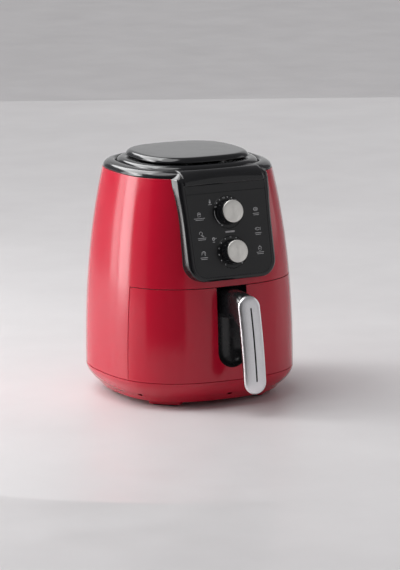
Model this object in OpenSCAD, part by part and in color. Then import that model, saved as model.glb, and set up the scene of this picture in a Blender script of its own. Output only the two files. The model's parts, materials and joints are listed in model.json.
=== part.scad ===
// Hot-air fryer with a pull-out pan drawer, two rotary controls and a top air inlet.
// Every module is drawn about the body's own axis; in_frame() moves the whole so that the
// origin is at the centre of the footprint, handle included. +Z is up, the front faces -Y.

/* [Body] */
// Widest width and depth of the body
body_w = 268; // [264:1:276]
// Squareness of the plan outline, 2 is round
plan_n = 2.62; // [2.55:0.01:2.7]
// How much narrower each side is at the top of the housing
top_inset = 25.2; // [23:0.2:26]
// Wall thickness of the moulded shells
wall = 2.6; // [2.2:0.1:3]
// Height of the seam between base tray and housing
base_z = 38; // [37.6:0.2:38.4]
// Height of the seam above the drawer
drawer_z = 166; // [165.6:0.2:167]
// Height of the top edge of the red housing
housing_z = 312; // [311:0.5:313]
// Gap left at every seam
seam = 0.8; // [0.6:0.1:1]
// How far in front of the body axis the housing's side walls end
split_y = 66; // [65:0.5:68]

/* [Top] */
// Height of the bezel's crest
crest_z = 322; // [321:0.5:323]
// Half width of the bezel's crest
crest_a = 96.5; // [95.5:0.5:98]
// Height of the cover plate's flat top
cover_z = 335; // [334:0.5:337]
// Half width of the cover plate at its rim
cover_a = 77.5; // [75:0.5:79]
// Number of radial slots in the air inlet
inlet_slots = 24; // [16:4:32]

/* [Control panel] */
// Lean of the panel from vertical, degrees
panel_tilt = 13.3; // [13.2:0.1:13.5]
// Width of the flat panel face
panel_w = 121; // [119:1:122]
// Length of the face from its top crease to its lower edge
panel_h = 124.6; // [123:0.2:125]
// Radius of each knob's body
knob_r = 16.6; // [15.8:0.2:18]
// Height of each knob above the face
knob_h = 17; // [15:0.5:19]
// Radius of each dial
dial_r = 22; // [20:0.5:23]

/* [Drawer] */
// Half width of the pan's outer wall
pan_half = 93; // [91:0.5:93.5]
// Height of the pan's rim
pan_rim_z = 160; // [158:0.5:160]
// Height of the underside of the pan
pan_floor_z = 46; // [45.8:0.2:48]
// Half width of the finger pocket in the drawer front
pocket_r = 22.5; // [22:0.1:23]

/* [Handle] */
// Width of the grip
grip_w = 33; // [31:0.5:34]
// Length of the grip
grip_h = 132; // [129:1:134]
// Lean of the grip from vertical, degrees
grip_tilt = 9.5; // [9:0.1:10]
// Distance of the grip's face, at its middle, from the body axis
grip_y = 195; // [193:0.5:197]

/* [Hidden] */

red = [0.66, 0.03, 0.07];
gloss_black = [0.03, 0.03, 0.035];
matt_black = [0.1, 0.1, 0.105];
silver = [0.75, 0.75, 0.76];
steel = [0.6, 0.6, 0.6];
copper = [0.7, 0.42, 0.25];

sides = 64;              // sides of every lofted outline
taper_power = 2.36;      // how late the body's taper starts
$fn = 64;
gap = 0.3;               // clearance between pieces that don't touch
bore_gap = 0.05;         // radial clearance of a shaft or screw in its bore

tray_z = 8;              // underside of the base tray
pad_h = 1.6;
foot_place = 72;         // each foot, across and along, from the body axis
tray_screw = [90, 40];
vent_angles = [32.5, 90, 147.5, 212.5, 270, 327.5]; // openings in the tray's slope
sheet = 1;               // thickness of folded sheet metal

chamber_y = 4;           // centre of pan and chamber, behind the body axis
liner_half = 100;
liner_r = 36;            // plan corner radius of the liner
liner_floor_z = 41;
liner_top_z = 199;
dome_z = 167;            // the liner closes all round above this height
shield_z = 205;
guard_z = 173;
element_z = 181;
element_r = 72;          // outer ring of the heating element
element_tube_r = 3.4;
plate_z = 60;            // underside of the crisper plate
bulb_y = -66;            // the thermostat's sensing bulb
bulb_z = 192;

shaft_r = 3;
bracket_z = 230;
rotor_r = 14.6;
fan_z = 185;
cooler_z = 264;

panel_top_y = -111.6;    // the crease at the top of the panel face
panel_top_z = 303;
groove_v = 10.8;         // from the crease to the fascia's upper edge, along the face
temperature_v = 38.4;    // from the crease to each knob
timer_v = 92.2;
badge_v = 64.7;
panel_corner = 18;       // radius of the face's lower corners
frame_flare = 7;         // how much wider each side of the panel frame is at its root
frame_shoulder = 4;      // extra flare at the crease, which fades out down the side
frame_rim = 0.9;         // width of the frame's edge round the fascia
frame_root_gap = 0.8;    // between the frame's root and the curved housing
window_half = 57;        // half width of the housing's opening behind the panel
window_z = 188;

gland_z = 62;
gland_r = 3.7;           // bore for a 7 mm mains cord
cord_notch_half = 20;    // half width of the housing's notch round the cord
cord_notch_z = 84;       // top of that notch
gland_out_y = 136.7;
outlet_z = 185;          // middle of the rear air outlet
outlet_half = 45;
outlet_h = 42;
switch_z = 104;
switch_x = 106;
plunger_r = 1.6;
motor_screw = [24, 22];
bracket_screw = 60;      // screws through bracket, shield and liner

grip_z = 97.5;
grip_depth = 15;
face_depth = 5.5;
end_drop = 3;            // how far the grip's face falls away at its ends
pocket_bottom_z = 78;    // centre of the pocket's round lower end
slot_len = 99;
arm_screw_z = [130, 148];

front_y = grip_y + grip_h / 2 * sin(grip_tilt) - end_drop * cos(grip_tilt);
y_shift = (front_y - gland_out_y) / 2;

// ---------- outline and loft helpers ----------

// Half width of the body at a height
function half_at(z) = body_w / 2
    - top_inset * pow(max(0, z - base_z) / (housing_z - base_z), taper_power);

// A point at the angle ang on the outline of half width a
function plan_point(a, ang, z) =
    let (r = a * pow(pow(abs(cos(ang)), plan_n) + pow(abs(sin(ang)), plan_n), -1 / plan_n))
    [r * cos(ang), r * sin(ang), z];

// The outline's other coordinate where one coordinate is known
function plan_other(a, known) = pow(pow(a, plan_n) - pow(known, plan_n), 1 / plan_n);

function plan_2d(a) = [for (i = [0:sides - 1]) let (p = plan_point(a, 360 * i / sides, 0)) [p.x, p.y]];

// The faces between rows i and k, columns j and m
function quad(i, k, j, m) = [[i + j, k + j, k + m], [i + j, k + m, i + m]];

// A solid through rows of n points each, every row a closed loop. As a ring the last row
// joins the first; otherwise flat caps close both ends.
module loft(points, n, ring = false) {
    rows = len(points) / n;
    last = (rows - 1) * n;
    skin = [for (i = [0:rows - (ring ? 1 : 2)], j = [0:n - 1])
        each quad(i * n, ((i + 1) % rows) * n, j, (j + 1) % n)];
    caps = ring ? [] : [[for (j = [0:n - 1]) j], [for (j = [n - 1:-1:0]) last + j]];
    polyhedron(points, concat(skin, caps));
}

// A loft through a list of [half width, height], going up its outside
module plan_loft(profile, ring = false) loft([for (p = profile, i = [0:sides - 1])
    plan_point(p[0], 360 * i / sides, p[1])], sides, ring);

// A curved wall that follows the body over part of the way round: centre is its middle's
// angle, and spread(a) its half angle on an outline of half width a
module wall_patch(levels, outset, thick, centre, spread, steps) {
    top = len(levels) - 1;
    profile = concat([for (z = levels) [half_at(z) + outset, z]],
        [for (i = [top:-1:0]) [half_at(levels[i]) + outset - thick, levels[i]]]);
    n = len(profile);
    cols = steps + 1;
    points = [for (p = profile, j = [0:steps])
        plan_point(p[0], centre + spread(p[0]) * (2 * j / steps - 1), p[1])];
    skin = [for (i = [0:n - 1], j = [0:steps - 1])
        each quad(i * cols, ((i + 1) % n) * cols, j, j + 1)];
    ends = [[for (i = [n - 1:-1:0]) i * cols], [for (i = [0:n - 1]) i * cols + steps]];
    polyhedron(points, concat(skin, ends));
}

// Half angles for walls that end in the planes y = -y0 or x = +-x0
function spread_to_y(y0) = function(a) 90 - atan2(y0, plan_other(a, y0));
function spread_to_x(x0) = function(a) 90 - atan2(plan_other(a, x0), x0);

module rounded(w, d, r) {
    for (x = [-1, 1], y = [-1, 1]) translate([x * (w / 2 - r), y * (d / 2 - r)]) circle(r);
    square([w - 2 * r, d], center = true);
    square([w, d - 2 * r], center = true);
}

// A box given by its low and high corners
module box(low, high) translate(low) cube(high - low);

// A rounded square prism about the chamber's centre
module chamber_prism(half, r, z0, z1) translate([0, chamber_y, z0])
    linear_extrude(z1 - z0) rounded(2 * half, 2 * half, r);

// Local frames: x across, y up along the face, z straight out of it
module on_panel() translate([0, panel_top_y, panel_top_z]) rotate([90 - panel_tilt, 0, 0])
    children();
module on_knob(v) on_panel() translate([0, -v, 0]) children();
module on_grip() translate([0, -grip_y, grip_z]) rotate([90 - grip_tilt, 0, 0]) children();

// A straight rod between two points
module rod(from, to, r) {
    d = to - from;
    translate(from) rotate([0, acos(d.z / norm(d)), atan2(d.y, d.x)])
        cylinder(h = norm(d), r = r, $fn = 16);
}

// An eight-sided tube swept along points, mitred at each one
module swept_tube(points, r) {
    n = 8;
    last = len(points) - 1;
    steady = [0.36, 0.48, 0.8];
    rings = [for (i = [0:last]) let (
        before = points[max(i, 1)] - points[max(i, 1) - 1],
        after = points[min(i, last - 1) + 1] - points[min(i, last - 1)],
        along = before / norm(before) + after / norm(after),
        u = cross(along, steady) / norm(cross(along, steady)),
        v = cross(along, u) / norm(along))
        for (j = [0:n - 1]) points[i] + r * (cos(360 * j / n) * u + sin(360 * j / n) * v)];
    loft(rings, n);
}

module torus(ring_r, tube_r) rotate_extrude() translate([ring_r, 0]) circle(tube_r, $fn = 16);

module at_corners(x, y) for (sx = [-1, 1], sy = [-1, 1]) translate([sx * x, sy * y, 0])
    children();

// The feet lie across the body's corners
module at_feet() for (sx = [-1, 1], sy = [-1, 1])
    translate([sx * foot_place, sy * foot_place, 0]) rotate(-sx * sy * 45) children();

module screw(len, r, head_r, head_h) {
    cylinder(h = len, r = r, $fn = 24);
    translate([0, 0, -head_h]) cylinder(h = head_h, r = head_r, $fn = 24);
}

// ---------- housing and base ----------

module outer_housing() color(red) difference() {
    levels = [base_z + seam / 2, 70, 110, 150, 190, 220, 246, 268, 286, 300, housing_z];
    top = len(levels) - 1;
    plan_loft(concat([for (z = levels) [half_at(z), z]],
        [for (i = [top:-1:0]) [half_at(levels[i]) - wall, levels[i]]]), ring = true);
    box([-body_w, -body_w, 0], [body_w, -split_y, drawer_z + seam / 2]);
    box([-window_half, -body_w, window_z], [window_half, 0, housing_z + 1]);
    box([-outlet_half - gap, 0, outlet_z - outlet_h / 2 - gap],
        [outlet_half + gap, body_w, outlet_z + outlet_h / 2 + gap]);
    box([-cord_notch_half - gap, 0, 0], [cord_notch_half + gap, body_w, cord_notch_z + gap]);
}

module base_tray() color(red) difference() {
    plan_loft([[113, tray_z], [118, 14], [124.5, 20], [130, 27], [133, 33],
        [body_w / 2, base_z - seam / 2], [body_w / 2 - wall, base_z - seam / 2],
        [130.2, 33], [127.2, 27.6], [122.4, 21.6], [116, 16], [111.5, tray_z + wall]]);
    for (a = vent_angles) rotate(a) box([100, -3.5, 15.6], [160, 3.5, 18.6]);
    at_corners(tray_screw.x, tray_screw.y) cylinder(h = 20, r = 2 + bore_gap, $fn = 24);
}

// The shelf that closes the tray; the drawer slides over it and its posts take the screws
module base_deck() color(matt_black) difference() {
    union() {
        translate([0, 0, 34]) linear_extrude(3.2) polygon(plan_2d(body_w / 2 - wall - 1.4));
        at_corners(tray_screw.x, tray_screw.y) translate([0, 0, tray_z + wall]) cylinder(h = 24, r = 5);
    }
    at_corners(tray_screw.x, tray_screw.y) cylinder(h = 32, r = 2 + bore_gap, $fn = 24);
    translate([-50, 116, 30]) cylinder(h = 10, r = 6);
}

module feet() color(red) at_feet() translate([0, 0, pad_h])
    linear_extrude(tray_z - pad_h) rounded(45, 19, 6);

module foot_pads() color(matt_black) at_feet() linear_extrude(pad_h) rounded(38, 14, 6.5);

module base_screws() color(steel) at_corners(tray_screw.x, tray_screw.y) translate([0, 0, tray_z])
    screw(20, 2, 3.8, 2);

// The flat rim that the open drawer shows round the pan's opening
module bay_frame() color(matt_black) {
    inner = body_w / 2 - wall - 5;
    difference() {
        box([-plan_other(inner, split_y), -split_y + gap, base_z + gap],
            [plan_other(inner, split_y), -split_y + 2.4, drawer_z - 0.6]);
        box([-liner_half, -body_w, 0], [liner_half, 0, drawer_z + 1]);
        translate([switch_x + 4.5, 0, switch_z + 8]) rotate([90, 0, 0])
            cylinder(h = body_w, r = plunger_r + 1, $fn = 24);
    }
}

// ---------- top ----------

module top_bezel() color(gloss_black) {
    rim = half_at(housing_z);
    plan_loft([[rim - 0.4, housing_z + 0.6], [rim - 1.2, 315], [rim - 3.6, 318],
        [rim - 7.6, 320.6], [crest_a, crest_z], [93.6, 321.4], [91.6, 318.6], [91.4, housing_z + 0.6]],
        ring = true);
}

module air_inlet() color(matt_black) difference() {
    plan_loft([[79, 316.2], [85, 318], [88.2, 315], [88.6, housing_z + 0.6],
        [91.1, housing_z + 0.6], [91.1, 317.4], [87.8, 322.4], [84.6, 323.6], [79, 321.6],
        [76, 319]]);
    for (i = [0:inlet_slots - 1]) rotate(360 * (i + 0.5) / inlet_slots)
        box([44, -2, 300], [72, 2, 330]);
}

module top_cover() color(gloss_black) {
    plan_loft([[68, 326.8], [cover_a - 1, 327.2], [cover_a, 328.4], [cover_a - 0.6, 330.2],
        [cover_a - 2.6, 332.8], [cover_a - 5.4, 334.6], [cover_a - 8, cover_z]]);
    at_corners(26, 26) translate([0, 0, 319]) cylinder(h = 326.8 - 319, r = 4);
}

// ---------- control panel ----------

// The panel's outline along its face, from its top left corner down, across and up again.
// grow widens it on three sides, and top is how far its upper edge lies below the crease.
function panel_points(grow, top) =
    let (half = panel_w / 2 + grow, low = panel_h + grow, r = panel_corner + grow)
    concat([for (i = [0:3]) [-half, -top - (low - r - top) * i / 4]],
        [for (i = [0:8]) [-half + r - r * cos(11.25 * i), -low + r - r * sin(11.25 * i)]],
        [for (i = [1:7]) [(half - r) * (i / 4 - 1), -low]],
        [for (i = [0:8]) [half - r + r * sin(11.25 * i), -low + r - r * cos(11.25 * i)]],
        [for (i = [3:-1:0]) [half, -top - (low - r - top) * i / 4]],
        [for (i = [11:-1:1]) [half * (i / 6 - 1), -top]]);

// Where a point of the outline lies on the flat face, and on the housing behind it
function face_point(p) = [p.x, panel_top_y + p.y * sin(panel_tilt), panel_top_z + p.y * cos(panel_tilt)];
function root_point(p) = let (z = face_point(p).z)
    [p.x, -plan_other(half_at(z) + frame_root_gap, abs(p.x)), z];

// A point of the outline, moved out by the shoulder near the crease
function shouldered(p) = let (more = frame_shoulder * pow(max(0, 1 + p.y / 60), 2))
    [p.x * (1 + 2 * more / panel_w), p.y];

module panel_frame() color(gloss_black) {
    outer_root = [for (p = panel_points(frame_flare, 0)) root_point(shouldered(p))];
    outer_face = [for (p = panel_points(0, 0)) face_point(p)];
    inner = panel_points(-frame_rim, groove_v);
    loft(concat(outer_root, outer_face, [for (p = inner) face_point(p)],
        [for (p = inner) root_point(p)]), len(inner), ring = true);
    wall_patch([panel_top_z + 0.2, 306, 309, housing_z + 0.4], 0.6, wall, -90,
        spread_to_x(window_half - gap), 10);
}

module panel_fascia() color(matt_black) on_panel() difference() {
    translate([0, 0, -1.6]) linear_extrude(1.6) polygon(panel_points(-frame_rim - 0.4, groove_v + 0.4));
    for (v = [temperature_v, timer_v]) translate([0, -v, -10]) cylinder(h = 20, r = 4);
}

module dial_plates() color(gloss_black) for (v = [temperature_v, timer_v]) on_knob(v)
    difference() {
        cylinder(h = 0.6, r = dial_r);
        translate([0, 0, -1]) cylinder(h = 4, r = 4);
    }

module blank_badge() color(silver) on_knob(badge_v) translate([-7, -1.25, 0]) cube([14, 2.5, 0.6]);

module thermostat_body() color(steel) on_knob(temperature_v) difference() {
    union() {
        translate([-18, -16, -24]) cube([36, 32, 20]);
        translate([0, 0, -4]) cylinder(h = 1.4, r = 12);
    }
    translate([0, 0, -20]) cylinder(h = 30, r = shaft_r + bore_gap);
}

module timer_body() color(steel) on_knob(timer_v) difference() {
    union() {
        translate([0, 0, -26]) cylinder(h = 22, r = 21.5);
        translate([0, 0, -4]) cylinder(h = 1.4, r = 12);
    }
    translate([0, 0, -20]) cylinder(h = 30, r = shaft_r + bore_gap);
}

module timer_bell() color(silver) on_knob(timer_v) {
    translate([0, 0, -29]) cylinder(h = 3, r = 3);
    difference() {
        translate([0, 0, -34]) cylinder(h = 5, r1 = 12, r2 = 18);
        translate([0, 0, -32.8]) cylinder(h = 3, r1 = 11.4, r2 = 15);
    }
}

module control_shaft(v) color(steel) on_knob(v) translate([0, 0, -19]) cylinder(h = 31, r = shaft_r);

module control_knob(v) color(matt_black) on_knob(v) difference() {
    translate([0, 0, 1]) rotate_extrude() polygon([[0, 0], [knob_r, 0], [knob_r, 2],
        [knob_r - 0.8, knob_h - 3], [knob_r - 1.4, knob_h - 2.2], [0, knob_h - 2.2]]);
    cylinder(h = 12.2, r = shaft_r + 0.02);
}

module control_cap(v) color(silver) on_knob(v) translate([0, 0, knob_h - 1.2]) rotate_extrude()
    polygon([[0, 0], [knob_r - 1.5, 0], [knob_r - 1.5, 0.6], [knob_r - 2.1, 1.2], [0, 1.2]]);

module temperature_knob() control_knob(temperature_v);
module temperature_cap() control_cap(temperature_v);
module thermostat_shaft() control_shaft(temperature_v);
module timer_knob() control_knob(timer_v);
module timer_cap() control_cap(timer_v);
module timer_shaft() control_shaft(timer_v);

// ---------- cooking chamber ----------

module chamber_liner() color(steel) difference() {
    chamber_prism(liner_half, liner_r, liner_floor_z, liner_top_z);
    chamber_prism(liner_half - sheet, liner_r - sheet, liner_floor_z + sheet, liner_top_z - sheet);
    box([-body_w, -body_w, 0], [body_w, -split_y + 2.6, dome_z]);
    translate([0, chamber_y, 190]) cylinder(h = 20, r = 6);
    for (x = [-9, 9]) translate([x, chamber_y + element_r, 190]) cylinder(h = 20, r = 4.4);
    translate([-40, bulb_y, 190]) cylinder(h = 20, r = 2.4, $fn = 24);
    at_corners(bracket_screw, bracket_screw) translate([0, chamber_y, 190]) cylinder(h = 20, r = 2 + bore_gap, $fn = 24);
    box([-36, 90, 174], [36, 120, 196]);
}

module drawer_rails() color(steel) for (x = [-70, 70])
    box([x - 5, -60, liner_floor_z + sheet], [x + 5, 98, pan_floor_z - gap]);

module heating_element() color([0.35, 0.33, 0.32]) translate([0, chamber_y, element_z]) {
    difference() {
        union() {
            torus(element_r, element_tube_r);
            torus(element_r - 17, element_tube_r);
        }
        box([-6, 40, -9], [6, 90, 9]);
    }
    for (x = [-9, 9]) {
        rod([x, element_r, 0], [x, element_r, 31], element_tube_r - 0.2);
        rod([x, element_r - 18, 0], [x, element_r, 0], element_tube_r - 0.4);
    }
}

module element_guard() color(steel) translate([0, chamber_y, guard_z]) {
    for (r = [14, 36, 58, 80]) torus(r, 1.2);
    for (a = [30:90:300]) rotate(a) {
        rod([14, 0, 0.7], [86, 0, 0.7], 1.1);
        rod([84, 0, 0], [84, 0, liner_top_z - sheet - guard_z], 1.3);
    }
}

module thermostat_bulb() color(copper) {
    rod([-76, bulb_y, bulb_z], [-40, bulb_y, bulb_z], 2.2);
    swept_tube([[-42, bulb_y, bulb_z], [-40, bulb_y, bulb_z], [-40, bulb_y, 212],
        [-32, -84, 238], [-10, -96, 258]], 1);
}

// A sheet over the chamber on four spacers; the motor stands on it
module heat_shield() color(steel) difference() {
    union() {
        chamber_prism(90, 30, shield_z - sheet, shield_z);
        at_corners(bracket_screw, bracket_screw) translate([0, chamber_y, liner_top_z])
            cylinder(h = shield_z - liner_top_z - sheet, r = 5);
    }
    translate([0, chamber_y, 190]) cylinder(h = 20, r = 6);
    for (x = [-9, 9]) translate([x, chamber_y + element_r, 190]) cylinder(h = 20, r = 4.4);
    translate([-40, bulb_y, 190]) cylinder(h = 20, r = 2.4, $fn = 24);
    at_corners(bracket_screw, bracket_screw) translate([0, chamber_y, 190]) cylinder(h = 20, r = 2 + bore_gap, $fn = 24);
}

module motor_bracket() color(steel) translate([0, chamber_y, 0]) difference() {
    union() {
        box([-68, -30, bracket_z - 2], [68, 30, bracket_z]);
        for (x = [-1, 1]) {
            box([x * 66 - 2, -30, shield_z], [x * 66 + 2, 30, bracket_z - 2]);
            box([x * 60 - 8, -68, shield_z], [x * 60 + 8, 68, shield_z + 2]);
        }
    }
    cylinder(h = 300, r = shaft_r + 2);
    at_corners(bracket_screw, bracket_screw) cylinder(h = 300, r = 2 + bore_gap, $fn = 24);
    at_corners(motor_screw.x, motor_screw.y) translate([0, 0, 215]) cylinder(h = 30, r = 1.6, $fn = 24);
}

module bracket_screws() color(steel) {
    at_corners(bracket_screw, bracket_screw) translate([0, chamber_y, shield_z + 2]) mirror([0, 0, 1])
        screw(10, 2, 3.8, 2);
    at_corners(motor_screw.x, motor_screw.y) translate([0, chamber_y, bracket_z - 2]) screw(12, 1.55, 3, 1.8);
}

module motor_stator() color([0.3, 0.3, 0.32]) translate([0, chamber_y, bracket_z]) difference() {
    union() {
        box([-32, -28, 0], [32, 28, 26]);
        translate([0, -34, 13]) rotate([0, 90, 0]) translate([0, 0, -18]) cylinder(h = 36, r = 12);
        translate([0, 0, 26]) cylinder(h = 6, r = 18);
    }
    translate([0, 0, -1]) cylinder(h = 28, r = rotor_r + 0.5);
    cylinder(h = 60, r = shaft_r + bore_gap);
    at_corners(motor_screw.x, motor_screw.y) translate([0, 0, -1]) cylinder(h = 14, r = 1.6, $fn = 24);
}

module motor_rotor() color(steel) translate([0, chamber_y, 0]) {
    translate([0, 0, 178]) cylinder(h = 108, r = shaft_r);
    translate([0, 0, bracket_z + 1]) cylinder(h = 24, r = rotor_r);
}

// A flat rotor with upright radial blades
module radial_fan(z, r, hub_r, blades, blade_h) translate([0, chamber_y, z]) difference() {
    union() {
        cylinder(h = 1.2, r = r);
        cylinder(h = blade_h, r = hub_r);
        for (i = [0:blades - 1]) rotate(360 * i / blades)
            box([hub_r - 1, -0.6, 0], [r - 1, 0.6, blade_h]);
    }
    translate([0, 0, -1]) cylinder(h = blade_h + 2, r = shaft_r + 0.02);
}

module convection_fan() color(steel) radial_fan(fan_z, 46, 8, 12, 10);
module cooling_fan() color(matt_black) radial_fan(cooler_z, 42, 9, 9, 14);

module fan_nut() color(steel) translate([0, chamber_y, fan_z - 5]) difference() {
    cylinder(h = 4.8, r = 6, $fn = 6);
    translate([0, 0, -1]) cylinder(h = 8, r = shaft_r + 0.02);
}

module exhaust_duct() color(matt_black) difference() {
    box([-38, 104, 172], [38, 120, 198]);
    box([-36, 100, 174], [36, 124, 196]);
}

// Louvred outlet in the back of the housing
module rear_outlet() color(matt_black) difference() {
    low = outlet_z - outlet_h / 2;
    wall_patch([for (i = [0:4]) low + outlet_h * i / 4], 0.6, wall + 1, 90, spread_to_x(outlet_half), 12);
    for (i = [0:5]) box([-38, 100, low + 4.6 + 6 * i], [38, body_w, low + 7.6 + 6 * i]);
}

// Plate that fills the housing's notch and holds the gland
module cord_plate() color(matt_black) difference() {
    wall_patch([base_z + seam / 2 + gap, 50, 62, 74, cord_notch_z], 0, wall, 90,
        spread_to_x(cord_notch_half), 10);
    translate([0, 0, gland_z]) rotate([-90, 0, 0]) cylinder(h = body_w, r = 6 + gap);
}

module cord_gland() color(matt_black) translate([0, 0, gland_z]) rotate([-90, 0, 0]) difference() {
    union() {
        translate([0, 0, 126]) cylinder(h = gland_out_y - 126, r = 6);
        translate([0, 0, body_w / 2 + 0.1]) cylinder(h = gland_out_y - body_w / 2 - 0.1, r = 9);
    }
    translate([0, 0, 120]) cylinder(h = 20, r = gland_r);
}

module terminal_block() color([0.85, 0.83, 0.76]) difference() {
    box([-34, 108, 37.2], [-4, 120, 52]);
    for (i = [0:2]) translate([-28 + 9 * i, 114, 45]) cylinder(h = 10, r = 2.2, $fn = 24);
}

module thermal_fuse() color(silver) translate([44, chamber_y + 34, shield_z + 3]) rotate([90, 0, 0]) {
    cylinder(h = 24, r = 3);
    translate([0, 0, -8]) cylinder(h = 40, r = 0.8, $fn = 16);
}

// Microswitch beside the chamber, with its plunger facing the drawer
module drawer_switch() color(matt_black) {
    box([switch_x, -60, switch_z], [switch_x + 9, -34, switch_z + 16]);
    translate([switch_x + 4.5, -60, switch_z + 8]) rotate([90, 0, 0])
        cylinder(h = 5, r = plunger_r, $fn = 24);
}

// Two leads that rise behind the chamber, one to the controls and one to the motor
module wiring_harness() color([0.2, 0.2, 0.22]) {
    swept_tube([[-28, 114, 49], [-28, 114, 58], [-60, 111, 66], [-60, 110, 214], [-84, 40, 222],
        [-84, -40, 224], [-50, -90, 226], [-14, -90, 238]], 2);
    swept_tube([[-10, 114, 49], [-10, 114, 58], [60, 111, 66], [60, 110, 214], [50, 60, 236],
        [38, 24, 244]], 2);
}

// ---------- drawer ----------

module pocket_solid(r) {
    y = -(body_w / 2 - 4);
    translate([0, y, pocket_bottom_z]) cylinder(h = 120, r = r);
    translate([0, y, pocket_bottom_z]) sphere(r);
}

module drawer_front() color(red) difference() {
    wall_patch([base_z + seam / 2, 58, 80, 102, 122, 138, 152, drawer_z - seam / 2], 0, wall, -90,
        spread_to_y(split_y + seam), 40);
    translate([0, -body_w, pocket_bottom_z]) {
        translate([-pocket_r, 0, 0]) cube([2 * pocket_r, body_w, 120]);
        rotate([-90, 0, 0]) cylinder(h = body_w, r = pocket_r);
    }
}

// Concave trough behind the grip, with a round lower end
module pocket_insert() color(matt_black) difference() {
    pocket_solid(pocket_r - gap);
    pocket_solid(pocket_r - gap - 2.2);
    translate([0, -body_w / 2 + 5, drawer_z]) rotate([-1.7, 0, 0])
        box([-60, -80, -160], [60, 0, 60]);
    box([-60, -200, drawer_z - 1], [60, 0, 220]);
    for (z = arm_screw_z) translate([0, -120, z]) rotate([-90, 0, 0]) cylinder(h = 20, r = 2.4, $fn = 24);
}

// Panel behind the drawer front and the ledge on its top
module drawer_inner_panel() color(matt_black) difference() {
    union() {
        box([-94, -99.6, 44], [94, -97.2, pan_rim_z + 2]);
        translate([0, 0, pan_rim_z + gap]) linear_extrude(3)
            intersection() {
                polygon(plan_2d(half_at(162) - wall - 0.6));
                translate([-body_w, -body_w]) square([2 * body_w, body_w - split_y - 1]);
            }
    }
    chamber_prism(94.5, 34, 150, 180);
    pocket_solid(pocket_r + 0.6);
    for (z = arm_screw_z) translate([0, -120, z]) rotate([-90, 0, 0]) cylinder(h = 30, r = 2.4, $fn = 24);
}

module pan() color(matt_black) difference() {
    union() {
        chamber_prism(pan_half, 33, pan_floor_z, pan_rim_z);
        chamber_prism(pan_half + 3, 36, pan_rim_z - 1.6, pan_rim_z);
    }
    chamber_prism(pan_half - 1.4, 31.6, pan_floor_z + 1.4, pan_rim_z + 1);
}

// Steel plate that ties the pan to the handle
module pan_bracket() color(steel) difference() {
    box([-30, -96.9, 60], [30, chamber_y - pan_half, 156]);
    for (z = arm_screw_z) translate([0, -100, z]) rotate([-90, 0, 0]) {
        cylinder(h = 40, r = 2 + bore_gap, $fn = 24);
        translate([0, 0, 8]) cylinder(h = 10, r = 4.2, $fn = 24);
    }
}

// A point in the grip's side view: v along the grip, d out of its face
function grip_side(v, d) = [-grip_y + v * sin(grip_tilt) - d * cos(grip_tilt),
    grip_z + v * cos(grip_tilt) + d * sin(grip_tilt)];

module handle_arm() color(gloss_black) difference() {
    intersection() {
        translate([-13, 0, 0]) rotate([90, 0, 90]) linear_extrude(26) difference() {
            polygon([grip_side(12, -grip_depth - 0.04), grip_side(63, -grip_depth - 0.04), [-150, 161],
                [-100, 161], [-100, 120], [-128, 120]]);
            translate([-147, 88]) circle(r = 34);
        }
        union() {
            pocket_solid(pocket_r - 2 * gap - 2.2);
            box([-20, -200, 80], [20, -body_w / 2 + 4, 170]);
        }
    }
    for (z = arm_screw_z) translate([0, -126, z]) rotate([-90, 0, 0]) cylinder(h = 60, r = 2 + bore_gap, $fn = 24);
}

module handle_grip() color(matt_black) on_grip() translate([0, 0, -grip_depth])
    linear_extrude(grip_depth - face_depth - 0.1) rounded(grip_w - 2, grip_h - 2, (grip_w - 2) / 2 - 0.01);

// Satin face, crowned across and along
module handle_face() color(silver) on_grip() difference() {
    across = 36;
    along = (grip_h * grip_h / 4 + end_drop * end_drop) / (2 * end_drop);
    intersection() {
        translate([0, 0, -face_depth]) linear_extrude(face_depth)
            rounded(grip_w, grip_h, grip_w / 2 - 0.01);
        translate([0, -100, -across]) rotate([-90, 0, 0]) cylinder(h = 200, r = across, $fn = 128);
        translate([-40, 0, -along]) rotate([0, 90, 0]) cylinder(h = 80, r = along, $fn = 256);
    }
    box([-1.2, -slot_len / 2, -2.4], [1.2, slot_len / 2, 2]);
}

module handle_slot_trim() color(gloss_black) on_grip()
    box([-1.1, -slot_len / 2 + 0.1, -2.3], [1.1, slot_len / 2 - 0.1, -1.9]);

module handle_screws() color(steel) for (z = arm_screw_z) translate([0, -92, z])
    rotate([90, 0, 0]) screw(32, 2, 3.8, 2.4);

// ---------- crisper plate ----------

module crisper_plate() color(matt_black) difference() {
    union() {
        chamber_prism(88, 30, plate_z, plate_z + 1.6);
        at_corners(60, 60) translate([0, chamber_y, pan_floor_z + 1.4 + gap])
            cylinder(h = plate_z - pan_floor_z - 1.4 - gap, r = 3);
    }
    for (r = [24, 40, 56, 72], i = [0:r / 4 - 1]) translate([0, chamber_y, 0])
        rotate(360 * i * 4 / r) translate([r, 0, plate_z - 1]) cylinder(h = 4, r = 2.8, $fn = 16);
    translate([0, chamber_y, plate_z - 1]) cylinder(h = 4, r = 11);
}

module plate_bumpers() color([0.2, 0.2, 0.2]) for (a = [0:90:270]) translate([0, chamber_y, plate_z])
    rotate(a) box([88.05, -6, -2], [91.2, 6, 4]);

// ---------- all nodes ----------

module in_frame() translate([0, y_shift, 0]) children();

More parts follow.
